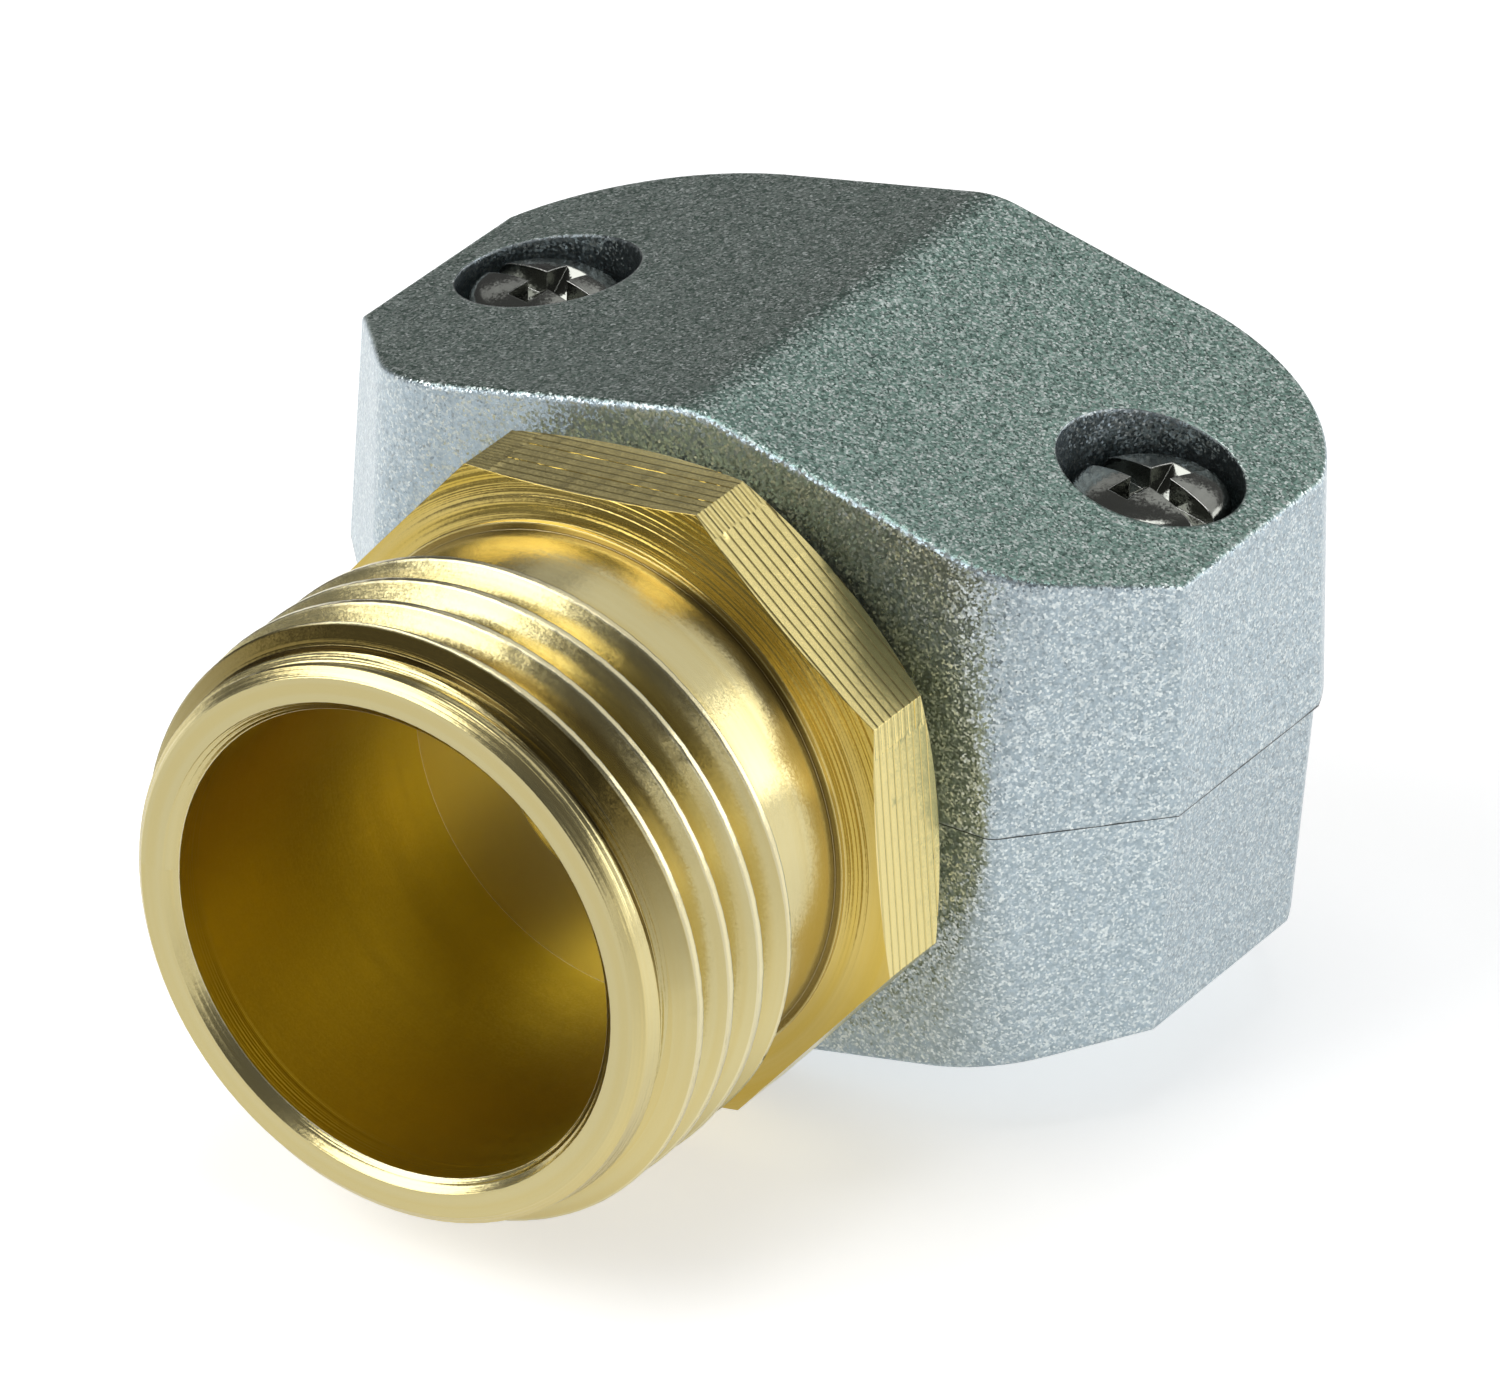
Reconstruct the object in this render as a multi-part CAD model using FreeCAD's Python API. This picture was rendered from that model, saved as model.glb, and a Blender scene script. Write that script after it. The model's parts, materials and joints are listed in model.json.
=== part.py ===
"""Male hose mender: a brass coupling with a garden hose thread, held on the hose by a cast clamp.

The clamp is two cast halves, one above and one below, drawn together by two machine screws.
The coupling is one turned piece: threaded nose, relief, octagonal flange, neck, collar and
barbed stem. Its neck runs in the clamp's front lip, so the clamp can turn round it.

Frame, in millimetres: +Y runs along the coupling from its nose to the hose, +Z is up through
the upper clamp half, and +X runs from one screw to the other. The origin is on the coupling's
axis, at the sealing face of the nose.
"""

import math
import os

import FreeCAD
import Part
from FreeCAD import Vector

# Thread of the nose: 3/4 inch garden hose thread, 11.5 turns to the inch
INCH = 25.4
THREAD_MAJOR_R = 1.0625 * INCH / 2
THREAD_PITCH = INCH / 11.5
THREAD_DEPTH = 1.34
THREAD_FLANK_DEG = 30.0
THREAD_CREST_WIDTH = THREAD_PITCH / 8
THREAD_LENGTH = 9.6
THREAD_LEAD_IN = 1.5
THREAD_START_DEG = -78.0
THREAD_ROOT_R = THREAD_MAJOR_R - THREAD_DEPTH

# Nose of the coupling: a flat sealing ring, a small lip and a short pilot up to the thread
NOSE_WALL = 1.75
SEAL_RING_INSET = 0.2
LIP_STEP = 0.2
LIP_DEPTH = 0.35
PILOT_STEP = 0.45
PILOT_END = 1.8
THREAD_FACE_DEPTH = 0.35
BORE_COUNTERSINK = 0.5
BORE_DEPTH = 17.6
BORE_R = THREAD_ROOT_R - NOSE_WALL

# Relief, ring step and octagonal flange
RELIEF_STEP = 0.07
RELIEF_LENGTH = 5.2
RING_STEP = 0.34
RING_LENGTH = 0.25
FLANGE_SIDES = 8
FLANGE_STEP = 0.36
FLANGE_TURN_DEG = 6.0
FLANGE_LENGTH = 6.15
FLANGE_CHAMFER_DEG = 20.0
FLANGE_REAR_CHAMFER_DEG = 34.0
FLANGE_REAR_INSET = 1.48
RELIEF_R = THREAD_ROOT_R - RELIEF_STEP
RING_R = RELIEF_R + RING_STEP
FLANGE_ACROSS_FLATS = 2 * THREAD_MAJOR_R + FLANGE_STEP
FLANGE_CORNER_R = FLANGE_ACROSS_FLATS / 2 / math.cos(math.pi / FLANGE_SIDES)
FLANGE_REAR_R = FLANGE_ACROSS_FLATS / 2 - FLANGE_REAR_INSET

# Barbed stem
STEM_BORE_R = 6.1
STEM_WALL = 1.3
STEM_GAP = 1.6
BARB_HEIGHT = 1.0
BARB_COUNT = 3
BARB_LENGTH = 4.6
BARB_PITCH = 5.7
BARB_LAND = 0.45
STEM_END_CHAMFER = 0.5
STEM_R = STEM_BORE_R + STEM_WALL
BARB_R = STEM_R + BARB_HEIGHT

# Neck and collar that the clamp's lip holds
NECK_STEP = 0.3
NECK_LENGTH = 3.25
COLLAR_STEP = 1.8
COLLAR_LENGTH = 1.9
COLLAR_CHAMFER = 0.4
NECK_R = BARB_R + NECK_STEP
COLLAR_R = NECK_R + COLLAR_STEP

# Inside of the clamp
LIP_CLEARANCE = 0.06
COLLAR_PLAY = 0.1
COLLAR_CLEARANCE = 0.5
HOSE_WALL = 3.7
GRIP_HEIGHT = 0.8
GRIP_COUNT = 3
GRIP_WIDTH = 2.4
GRIP_LAND = 0.6
GRIP_PITCH = 5.7
GRIP_START = 2.4
MOUTH_CHAMFER = 0.8
HOSE_R = BARB_R + HOSE_WALL
GRIP_R = HOSE_R - GRIP_HEIGHT

# Pan head screws, number 6. Their thread, 32 turns to the inch, is left plain here
SCREW_WALL = 2.8
SCREW_R = 0.138 * INCH / 2
SCREW_LENGTH = 0.625 * INCH
SCREW_TIP_CHAMFER = 0.5
HEAD_R = 3.43
HEAD_HEIGHT = 2.45
HEAD_CAP_R = 9.0
HEAD_CORNER_R = 0.9
HEAD_DROP = 6.05
COUNTERBORE_R = 3.96
SHANK_HOLE_CLEARANCE = 0.25
TAPPED_CLEARANCE = 0.05
TAPPED_SPARE = 1.4
SCREW_X = HOSE_R + SCREW_WALL

# Drive recess: a cross with one pair of arms run out as a slot
SLOT_WIDTH = 1.15
SLOT_DEPTH = 1.2
CROSS_WIDTH = 1.15
CROSS_REACH = 2.0
CROSS_DEPTH = 1.75
CROSS_TIP_REACH = 0.55
RIGHT_SLOT_DEG = -16.0
LEFT_SLOT_DEG = -10.0

# Clamp halves, at the parting plane
CLAMP_GAP = 0.35
CLAMP_WALL = 2.85
CLAMP_EDGE_WALL = 5.7
CLAMP_LENGTH = 24.8
CLAMP_CHAMFER_X = 5.3
CLAMP_CHAMFER_Y = 6.2
CLAMP_BACK_R = 10.9
CLAMP_BACK_KINK = 0.6
CLAMP_ROOF_DEG = 12.4
CLAMP_RIDGE_R = 5.0
CLAMP_DRAFT_DEG = 2.0
CLAMP_FRONT_EDGE_R = 0.8
CLAMP_FRONT_TOP_R = 6.0
CLAMP_RIM = 0.3
LOWER_STEP = 0.3
LOWER_DRAFT_DEG = 3.0
CLAMP_RIDGE_Z = HOSE_R + CLAMP_WALL
CLAMP_HALF_WIDTH = SCREW_X + CLAMP_EDGE_WALL
CLAMP_BACK_CENTRE_X = CLAMP_HALF_WIDTH + CLAMP_BACK_KINK - CLAMP_BACK_R
SCREW_SEAT_Z = CLAMP_RIDGE_Z - HEAD_DROP

# Stations along the coupling, each worked out from the lengths above
THREAD_FACE = PILOT_END + THREAD_FACE_DEPTH
RELIEF_END = THREAD_LENGTH + RELIEF_LENGTH
FLANGE_FRONT = RELIEF_END + RING_LENGTH
FLANGE_BACK = FLANGE_FRONT + FLANGE_LENGTH
NECK_END = FLANGE_BACK + NECK_LENGTH
COLLAR_END = NECK_END + COLLAR_LENGTH
FIRST_BARB = COLLAR_END + STEM_GAP
STEM_END = FIRST_BARB + (BARB_COUNT - 1) * BARB_PITCH + BARB_LENGTH

# Stations along the clamp
CLAMP_FRONT = FLANGE_BACK + CLAMP_GAP
CLAMP_BACK = CLAMP_FRONT + CLAMP_LENGTH
LIP_END = NECK_END - COLLAR_PLAY
SCREW_Y = (CLAMP_FRONT + CLAMP_BACK) / 2

# How far cutting shapes run past what they cut, and how much longer than the clamp they are
OVER = 1.0
CUTTER_REACH = 4

AXIS_X = Vector(1, 0, 0)
AXIS_Y = Vector(0, 1, 0)
AXIS_Z = Vector(0, 0, 1)
ORIGIN = Vector(0, 0, 0)


def polygon(points):
    """A closed face through the given points."""
    return Part.Face(Part.makePolygon(points + [points[0]]))


def turned(stations):
    """A solid of revolution about Y from (radius, y) pairs that start and end on the axis."""
    return polygon([Vector(r, y, 0) for r, y in stations]).revolve(ORIGIN, AXIS_Y, 360)


def coupling_blank():
    """The coupling before its flats and its thread are cut, with plain major diameter."""
    chamfer_rise = math.tan(math.radians(FLANGE_CHAMFER_DEG))
    rear_rise = math.tan(math.radians(FLANGE_REAR_CHAMFER_DEG))
    front_corner = FLANGE_FRONT + (FLANGE_CORNER_R - RING_R) * chamfer_rise
    rear_corner = FLANGE_BACK - (FLANGE_CORNER_R - FLANGE_REAR_R) * rear_rise
    outline = [
        (0, 0),
        (THREAD_ROOT_R - SEAL_RING_INSET, 0),
        (THREAD_ROOT_R + LIP_STEP, LIP_DEPTH),
        (THREAD_ROOT_R + PILOT_STEP, PILOT_END),
        (THREAD_MAJOR_R, THREAD_FACE),
        (THREAD_MAJOR_R, THREAD_LENGTH - THREAD_CREST_WIDTH),
        (RELIEF_R, THREAD_LENGTH),
        (RELIEF_R, RELIEF_END),
        (RING_R, RELIEF_END),
        (RING_R, FLANGE_FRONT),
        (FLANGE_CORNER_R, front_corner),
        (FLANGE_CORNER_R, rear_corner),
        (FLANGE_REAR_R, FLANGE_BACK),
        (NECK_R, FLANGE_BACK),
        (NECK_R, NECK_END),
        (COLLAR_R, NECK_END),
        (COLLAR_R, COLLAR_END - COLLAR_CHAMFER),
        (COLLAR_R - COLLAR_CHAMFER, COLLAR_END),
        (STEM_R, COLLAR_END),
    ]
    for i in range(BARB_COUNT):
        start = FIRST_BARB + i * BARB_PITCH
        outline += [
            (STEM_R, start),
            (BARB_R, start),
            (BARB_R, start + BARB_LAND),
            (STEM_R, start + BARB_LENGTH),
        ]
    outline[-1] = (STEM_R - STEM_END_CHAMFER / 2, STEM_END)
    outline.append((0, STEM_END))
    return turned(outline)


def waterway():
    """The wide bore of the nose, the shoulder, and the narrow bore of the stem."""
    return turned(
        [
            (0, -OVER),
            (BORE_R + BORE_COUNTERSINK + OVER, -OVER),
            (BORE_R, BORE_COUNTERSINK),
            (BORE_R, BORE_DEPTH),
            (STEM_BORE_R, BORE_DEPTH),
            (STEM_BORE_R, STEM_END + OVER),
            (0, STEM_END + OVER),
        ]
    )


def flats_cutter():
    """What is milled away round the flange to leave its flats."""
    length = FLANGE_LENGTH + RING_LENGTH
    start = FLANGE_FRONT - RING_LENGTH / 2
    corners = []
    for i in range(FLANGE_SIDES):
        angle = math.radians(FLANGE_TURN_DEG) + (i + 0.5) * 2 * math.pi / FLANGE_SIDES
        corners.append(
            Vector(FLANGE_CORNER_R * math.cos(angle), start, FLANGE_CORNER_R * math.sin(angle))
        )
    prism = polygon(corners).extrude(Vector(0, length, 0))
    ring = Part.makeCylinder(2 * FLANGE_CORNER_R, length, Vector(0, start, 0), AXIS_Y)
    return ring.cut(prism)


def thread_grooves():
    """The helical V groove between the crests, from ahead of the nose into the relief.

    It comes as one solid a turn, because a groove of several turns in one isn't cut reliably.
    """
    slope = math.tan(math.radians(THREAD_FLANK_DEG))
    top_r = THREAD_MAJOR_R + THREAD_CREST_WIDTH
    half_top = (THREAD_PITCH - THREAD_CREST_WIDTH) / 2 + THREAD_CREST_WIDTH * slope
    half_root = half_top - (top_r - THREAD_ROOT_R) * slope
    start = -THREAD_LEAD_IN * THREAD_PITCH
    turns = math.ceil((THREAD_LENGTH + half_top - start) / THREAD_PITCH)
    helix = Part.makeHelix(THREAD_PITCH, THREAD_PITCH, THREAD_ROOT_R)
    profile = Part.makePolygon(
        [
            Vector(THREAD_ROOT_R, 0, -half_root),
            Vector(top_r, 0, -half_top),
            Vector(top_r, 0, half_top),
            Vector(THREAD_ROOT_R, 0, half_root),
            Vector(THREAD_ROOT_R, 0, -half_root),
        ]
    )
    turn = Part.Wire(helix.Edges).makePipeShell([profile], True, True)
    turn.rotate(ORIGIN, AXIS_Z, THREAD_START_DEG)
    turn.rotate(ORIGIN, AXIS_X, -90)
    return [turn.translated(Vector(0, start + k * THREAD_PITCH, 0)) for k in range(turns)]


def coupling():
    """The turned brass coupling."""
    plain = coupling_blank().cut(waterway()).cut(flats_cutter())
    threaded = plain
    for groove in thread_grooves():
        threaded = threaded.cut(groove)
    if threaded.Volume > plain.Volume - THREAD_DEPTH * THREAD_MAJOR_R * THREAD_LENGTH:
        raise RuntimeError("the thread was not cut")
    return threaded


def roof():
    """All between the parting plane and the two sloping planes, whose meeting along Y is rounded."""
    slope = math.radians(CLAMP_ROOF_DEG)
    reach = CLAMP_HALF_WIDTH + OVER
    eave = CLAMP_RIDGE_Z + CLAMP_RIDGE_R * (1 / math.cos(slope) - 1) - reach * math.tan(slope)
    tangent_x = CLAMP_RIDGE_R * math.sin(slope)
    tangent_z = CLAMP_RIDGE_Z - CLAMP_RIDGE_R * (1 - math.cos(slope))
    y = CLAMP_FRONT - OVER
    edges = [
        Part.LineSegment(Vector(-reach, y, 0), Vector(-reach, y, eave)),
        Part.LineSegment(Vector(-reach, y, eave), Vector(-tangent_x, y, tangent_z)),
        Part.Arc(
            Vector(-tangent_x, y, tangent_z),
            Vector(0, y, CLAMP_RIDGE_Z),
            Vector(tangent_x, y, tangent_z),
        ),
        Part.LineSegment(Vector(tangent_x, y, tangent_z), Vector(reach, y, eave)),
        Part.LineSegment(Vector(reach, y, eave), Vector(reach, y, 0)),
        Part.LineSegment(Vector(reach, y, 0), Vector(-reach, y, 0)),
    ]
    face = Part.Face(Part.Wire([e.toShape() for e in edges]))
    return face.extrude(Vector(0, CLAMP_LENGTH + 2 * OVER, 0))


def rim_edges(half):
    """The edges that run round the rim of the roof, without the ridge's own two."""
    slope = math.tan(math.radians(CLAMP_ROOF_DEG))
    ridge_half = CLAMP_RIDGE_R * math.sin(math.radians(CLAMP_ROOF_DEG))
    rim = []
    for edge in half.Edges:
        middle = edge.valueAt((edge.FirstParameter + edge.LastParameter) / 2)
        below_roof = CLAMP_RIDGE_Z - abs(middle.x) * slope - middle.z
        along_ridge = abs(abs(middle.x) - ridge_half) < CLAMP_RIM
        along_ridge = along_ridge and edge.BoundBox.YLength > CLAMP_LENGTH / 2
        level = edge.BoundBox.XLength > CLAMP_RIM or edge.BoundBox.YLength > CLAMP_RIM
        if below_roof < CLAMP_RIM and level and not along_ridge:
            rim.append(edge)
    return rim


def beyond_side(x, y, facing_deg, draft_deg):
    """What lies beyond the drafted side that meets the parting plane at (x, y)."""
    size = CUTTER_REACH * CLAMP_LENGTH
    waste = Part.makeBox(size, size, size, Vector(0, -size / 2, -size / 2))
    waste.rotate(ORIGIN, AXIS_Y, -draft_deg)
    waste.rotate(ORIGIN, AXIS_Z, facing_deg)
    waste.translate(Vector(x, y, 0))
    return waste


def beyond_back_corner(side, inset, draft_deg):
    """What lies beyond a back corner, whose drafted arc runs tangent into the back face."""
    height = CLAMP_RIDGE_Z + OVER
    bottom_r = CLAMP_BACK_R - inset
    top_r = bottom_r - height * math.tan(math.radians(draft_deg))
    centre = Vector(side * CLAMP_BACK_CENTRE_X, CLAMP_BACK - CLAMP_BACK_R, 0)
    size = 2 * CLAMP_BACK_R
    waste = Part.makeBox(size, size, height, centre + Vector(min(0, side * size), 0, 0))
    return waste.cut(Part.makeCone(bottom_r, top_r, height, centre))


def round_front_corners(block):
    """Rounds the two upright edges at the front, from nearly sharp at the parting to wide at the top."""
    corner_x = CLAMP_HALF_WIDTH - CLAMP_CHAMFER_X
    for side in (-1, 1):
        for edge in block.Edges:
            at = edge.CenterOfMass
            near = abs(at.x * side - corner_x) < OVER and at.y < CLAMP_FRONT + OVER
            if near and edge.BoundBox.ZLength > CLAMP_RIDGE_Z / 2:
                radii = [CLAMP_FRONT_EDGE_R, CLAMP_FRONT_TOP_R]
                if edge.Vertexes[0].Z > edge.Vertexes[1].Z:
                    radii.reverse()
                block = block.makeFillet(radii[0], radii[1], [edge])
                break
    return block


def cast_block(inset, draft_deg):
    """One half before it is bored: drafted sides under the roof, with a rounded rim."""
    chamfer_deg = math.degrees(math.atan2(CLAMP_CHAMFER_X, CLAMP_CHAMFER_Y))
    side_x = CLAMP_HALF_WIDTH - inset
    front_y = CLAMP_FRONT + inset
    chamfer_x = CLAMP_HALF_WIDTH - CLAMP_CHAMFER_X
    chamfer_inset_x = inset * math.cos(math.radians(chamfer_deg))
    chamfer_inset_y = inset * math.sin(math.radians(chamfer_deg))
    block = roof()
    block = block.cut(beyond_side(0, front_y, -90, draft_deg))
    block = block.cut(beyond_side(0, CLAMP_BACK - inset, 90, draft_deg))
    for side, facing_deg in ((1, 0), (-1, 180)):
        block = block.cut(beyond_side(side * side_x, 0, facing_deg, draft_deg))
        block = block.cut(
            beyond_side(
                side * (chamfer_x - chamfer_inset_x),
                CLAMP_FRONT + chamfer_inset_y,
                facing_deg - side * chamfer_deg,
                draft_deg,
            )
        )
        block = block.cut(beyond_back_corner(side, inset, draft_deg))
    block = round_front_corners(block)
    return block.makeFillet(CLAMP_RIM, rim_edges(block))


def hose_cavity():
    """What both halves close round: the lip, the collar's room, the ribbed bore and its mouth."""
    collar_room_end = COLLAR_END + COLLAR_PLAY
    outline = [
        (0, CLAMP_FRONT - OVER),
        (NECK_R + LIP_CLEARANCE, CLAMP_FRONT - OVER),
        (NECK_R + LIP_CLEARANCE, LIP_END),
        (COLLAR_R + COLLAR_CLEARANCE, LIP_END),
        (COLLAR_R + COLLAR_CLEARANCE, collar_room_end),
        (HOSE_R, collar_room_end + HOSE_R - COLLAR_R - COLLAR_CLEARANCE),
    ]
    ramp = (GRIP_WIDTH - GRIP_LAND) / 2
    for i in range(GRIP_COUNT):
        start = collar_room_end + GRIP_START + i * GRIP_PITCH
        outline += [
            (HOSE_R, start),
            (GRIP_R, start + ramp),
            (GRIP_R, start + ramp + GRIP_LAND),
            (HOSE_R, start + GRIP_WIDTH),
        ]
    outline += [
        (HOSE_R, CLAMP_BACK - MOUTH_CHAMFER),
        (HOSE_R + MOUTH_CHAMFER + OVER, CLAMP_BACK + OVER),
        (0, CLAMP_BACK + OVER),
    ]
    return turned(outline)


def at_screws(make):
    """The shape that make(x) gives at each of the two screws, joined."""
    return make(-SCREW_X).fuse(make(SCREW_X))


def clamp_upper():
    """The upper half, with a counterbore and a clearance hole for each screw."""

    def screw_way(x):
        foot = Vector(x, SCREW_Y, -OVER)
        seat = Vector(x, SCREW_Y, SCREW_SEAT_Z)
        shank = Part.makeCylinder(SCREW_R + SHANK_HOLE_CLEARANCE, SCREW_SEAT_Z + 2 * OVER, foot)
        return shank.fuse(Part.makeCylinder(COUNTERBORE_R, CLAMP_RIDGE_Z, seat))

    block = cast_block(0, CLAMP_DRAFT_DEG)
    return block.cut(hose_cavity()).cut(at_screws(screw_way))


def clamp_lower():
    """The lower half, with a blind tapped hole for each screw."""
    depth = SCREW_LENGTH - SCREW_SEAT_Z + TAPPED_SPARE

    def tapped(x):
        foot = Vector(x, SCREW_Y, -depth)
        return Part.makeCylinder(SCREW_R + TAPPED_CLEARANCE, depth + OVER, foot)

    block = cast_block(LOWER_STEP, LOWER_DRAFT_DEG).mirror(ORIGIN, AXIS_Z)
    return block.cut(hose_cavity()).cut(at_screws(tapped))


def cross_arm():
    """A tapered pair of cross recess arms along X, cut down from above the head's crown."""
    reach = CROSS_REACH
    tip = CROSS_TIP_REACH
    floor = HEAD_HEIGHT - CROSS_DEPTH
    face = polygon(
        [
            Vector(-reach, -CROSS_WIDTH / 2, HEAD_HEIGHT),
            Vector(reach, -CROSS_WIDTH / 2, HEAD_HEIGHT),
            Vector(tip, -CROSS_WIDTH / 2, floor),
            Vector(-tip, -CROSS_WIDTH / 2, floor),
        ]
    )
    return face.extrude(Vector(0, CROSS_WIDTH, 0))


def screw_blank():
    """The screw before its recess: plain shank, flat seat and a head with a domed top."""
    cap_centre_z = HEAD_HEIGHT - HEAD_CAP_R
    corner_x = HEAD_R - HEAD_CORNER_R
    reach = HEAD_CAP_R - HEAD_CORNER_R
    lean = math.asin(corner_x / reach)
    corner_z = cap_centre_z + reach * math.cos(lean)

    def on_arc(centre_x, centre_z, radius, angle):
        """A point of an arc in the XZ plane, angle being measured from +Z."""
        return Vector(centre_x + radius * math.sin(angle), 0, centre_z + radius * math.cos(angle))

    crown = Vector(0, 0, HEAD_HEIGHT)
    cap_end = on_arc(0, cap_centre_z, HEAD_CAP_R, lean)
    side_top = Vector(HEAD_R, 0, corner_z)
    corner_middle = on_arc(corner_x, corner_z, HEAD_CORNER_R, (lean + math.pi / 2) / 2)
    below_cap = [
        side_top,
        Vector(HEAD_R, 0, 0),
        Vector(SCREW_R, 0, 0),
        Vector(SCREW_R, 0, SCREW_TIP_CHAMFER - SCREW_LENGTH),
        Vector(SCREW_R - SCREW_TIP_CHAMFER, 0, -SCREW_LENGTH),
        Vector(0, 0, -SCREW_LENGTH),
        crown,
    ]
    cap = Part.Arc(crown, on_arc(0, cap_centre_z, HEAD_CAP_R, lean / 2), cap_end).toShape()
    corner = Part.Arc(cap_end, corner_middle, side_top).toShape()
    outline = Part.Wire([cap, corner] + Part.makePolygon(below_cap).Edges)
    return Part.Face(outline).revolve(ORIGIN, AXIS_Z, 360)


def screw(x, slot_deg):
    """A pan head screw in its place, its slot turned slot_deg from X."""
    slot = Part.makeBox(
        2 * (HEAD_R + OVER),
        SLOT_WIDTH,
        SLOT_DEPTH + OVER,
        Vector(-HEAD_R - OVER, -SLOT_WIDTH / 2, HEAD_HEIGHT - SLOT_DEPTH),
    )
    along = cross_arm()
    across = cross_arm()
    across.rotate(ORIGIN, AXIS_Z, 90)
    made = screw_blank().cut(slot).cut(along).cut(across)
    made.rotate(ORIGIN, AXIS_Z, slot_deg)
    made.translate(Vector(x, SCREW_Y, SCREW_SEAT_Z))
    return made


def main():
    os.makedirs("parts", exist_ok=True)
    pieces = {
        "coupling": coupling(),
        "clamp_upper": clamp_upper(),
        "clamp_lower": clamp_lower(),
        "screw_left": screw(-SCREW_X, LEFT_SLOT_DEG),
        "screw_right": screw(SCREW_X, RIGHT_SLOT_DEG),
    }
    for name, shape in pieces.items():
        solid = shape.Solids[0]
        print(name, len(shape.Solids), "solid", shape.isValid(), round(solid.Volume, 1), "mm3")
        solid.exportStep(f"parts/{name}.step")


main()
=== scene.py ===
"""Looks of a male hose mender: turned brass coupling, two cast clamp halves and two screws.

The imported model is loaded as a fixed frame, in metres. +Y runs along the coupling from its
nose to the hose, +Z is up through the upper clamp half, +X runs from one screw to the other.
"""

import json
import math

import bmesh
import bpy
from bpy.props import FloatProperty, FloatVectorProperty, IntProperty, PointerProperty
from mathutils import Matrix, Vector, noise


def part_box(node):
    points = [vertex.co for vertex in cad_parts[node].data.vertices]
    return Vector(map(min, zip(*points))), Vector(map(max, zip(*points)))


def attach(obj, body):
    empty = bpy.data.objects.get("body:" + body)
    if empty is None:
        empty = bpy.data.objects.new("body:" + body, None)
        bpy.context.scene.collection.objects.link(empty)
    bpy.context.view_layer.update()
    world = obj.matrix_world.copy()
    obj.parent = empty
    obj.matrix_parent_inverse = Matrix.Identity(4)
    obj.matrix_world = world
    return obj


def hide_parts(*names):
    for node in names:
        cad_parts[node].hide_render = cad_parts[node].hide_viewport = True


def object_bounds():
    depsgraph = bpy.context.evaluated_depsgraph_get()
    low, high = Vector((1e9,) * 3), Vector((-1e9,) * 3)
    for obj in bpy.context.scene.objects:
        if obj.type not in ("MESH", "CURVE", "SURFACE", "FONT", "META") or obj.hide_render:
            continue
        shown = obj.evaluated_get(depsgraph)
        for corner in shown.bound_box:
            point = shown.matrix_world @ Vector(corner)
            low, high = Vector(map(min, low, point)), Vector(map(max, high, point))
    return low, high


bl_info = {
    "name": "Hose Mender",
    "version": (1, 0, 0),
    "blender": (4, 5, 0),
    "location": "3D View > Sidebar > Hose Mender",
    "description": "Finishes a brass hose mender with its cast clamp and screws",
    "category": "Object",
}

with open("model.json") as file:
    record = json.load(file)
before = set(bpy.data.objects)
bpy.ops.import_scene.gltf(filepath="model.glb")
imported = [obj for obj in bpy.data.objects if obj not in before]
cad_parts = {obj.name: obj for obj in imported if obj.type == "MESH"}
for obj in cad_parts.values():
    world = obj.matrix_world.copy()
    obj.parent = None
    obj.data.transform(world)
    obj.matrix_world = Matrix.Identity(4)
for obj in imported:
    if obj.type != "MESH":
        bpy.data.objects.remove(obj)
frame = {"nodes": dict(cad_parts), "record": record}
CAD_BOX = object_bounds()

MM = 0.001
AXIS_Y = Vector((0, 1, 0))
AXIS_Z = Vector((0, 0, 1))

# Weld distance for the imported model's loose triangles, and the closer one for cuts
WELD = 0.002 * MM
CUT_WELD = WELD / 10

# Angle in degrees over which an edge stays sharp
BRASS_CREASE = 24
CAST_CREASE = 30
STEEL_CREASE = 44

# Flange of the coupling: its flats, and the stretch along Y that they cover
FLANGE_SIDES = 8
FLANGE_TURN = math.radians(6.0)
FLANGE_FLAT_R = 13.674 * MM
FLANGE_FRONT = 15.05 * MM
FLANGE_BACK = 21.2 * MM

# How a face or an edge is known to belong to a flat: least cosine to the flat's normal,
# distances from the flat, least fold across a groove's edge, and most lean along Y
FLAT_COSINE = 0.9995
FLAT_FACE_GAP = 0.02 * MM
FLAT_EDGE_GAP = 0.05 * MM
GROOVE_FOLD = 0.03
GROOVE_LEAN = 0.3

# Strips that a flat is cut in. The first lies in the cutter's other pass.
FLAT_COLUMNS = 9

# A groove's half width, and as shares of the pitch its place, the shift from one pass to the
# other, how far it strays, and the half width of its dark stripe
GROOVE_HALF = 0.05 * MM
GROOVE_PHASE = 0.3
PASS_SHIFT = 0.5
GROOVE_STRAY = 0.08
STRIPE_HALF = 0.14

# Shares of the groove's depth: the least, what chance adds, and the lift of one side
DEPTH_LEAST = 0.7
DEPTH_CHANCE = 0.6
DEPTH_TILT = 0.35

# Bore and thread of the nose, and the bead in front of the flange
BORE_R = 10.404 * MM
BORE_DEPTH = 17.6 * MM
CREST_R = 13.494 * MM
THREAD_START = 1.9 * MM
THREAD_END = 9.8 * MM
BEAD_FRONT = 14.8 * MM

# Burrs: how near the crests' radius they lie, the edges that are split for them, and the
# distance over which they wander
CREST_GAP = 0.01 * MM
BURR_EDGE = 0.6 * MM
BURR_CUTS = 3
BURR_WAVE = 0.35 * MM
BURR_SEED = 1

# Masks of the brass across the axis: past the bore's wall, and how far under the crests'
# radius the crests' skin, the roots, the first gap and the bead's foot begin
WALL_MARGIN = 0.05 * MM
BORE_MARGIN = 0.02 * MM
CREST_SKIN = 0.09 * MM
ROOT_DROP = 0.95 * MM
GAP_DROP = 0.12 * MM
BEAD_DROP = 1.15 * MM

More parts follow.
